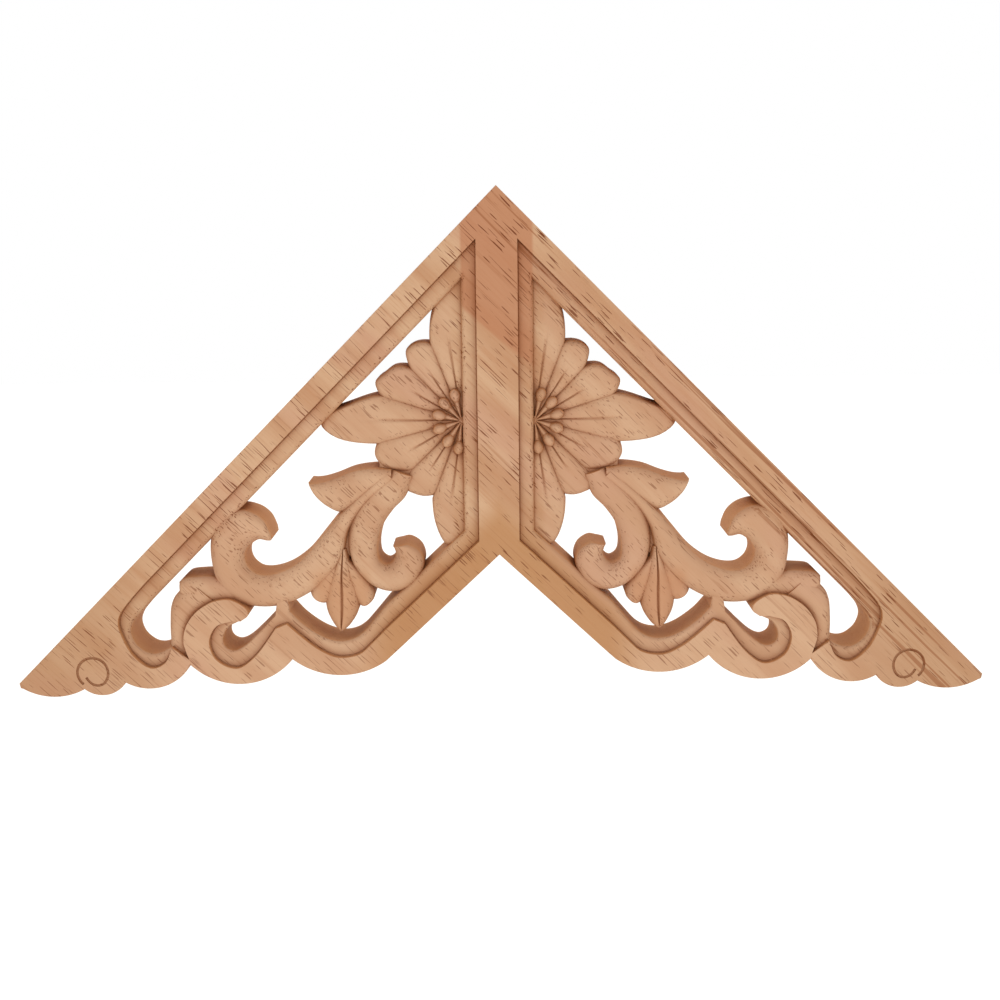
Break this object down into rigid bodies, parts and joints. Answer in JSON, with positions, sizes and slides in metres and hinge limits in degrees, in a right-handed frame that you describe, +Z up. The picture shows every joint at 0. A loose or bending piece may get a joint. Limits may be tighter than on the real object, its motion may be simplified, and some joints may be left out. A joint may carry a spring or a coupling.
{
  "type": "carved corner applique",
  "caption": "Right-angled carved wooden corner applique: two long legs, a centre bar and pierced panels of half flowers, leaves and scrolls, flat at the back for gluing or pinning on.",
  "frame": {"origin": "on the flat back, in the middle of the centre bar, level with the centres of the two half flowers, 65.6 mm below the outer corner", "axes": "+Z up towards the outer corner, +X to the right along the span between the two tips, +Y out of the flat back into what carries it; the carved front faces -Y"},
  "size_m": [0.2828, 0.016, 0.1458],
  "materials": {
    "bare_wood": "sanded bare hardwood, no stain or varnish"
  },
  "bodies": {
    "root": {"carved_corner": "bare_wood"}
  },
  "joints": []
}
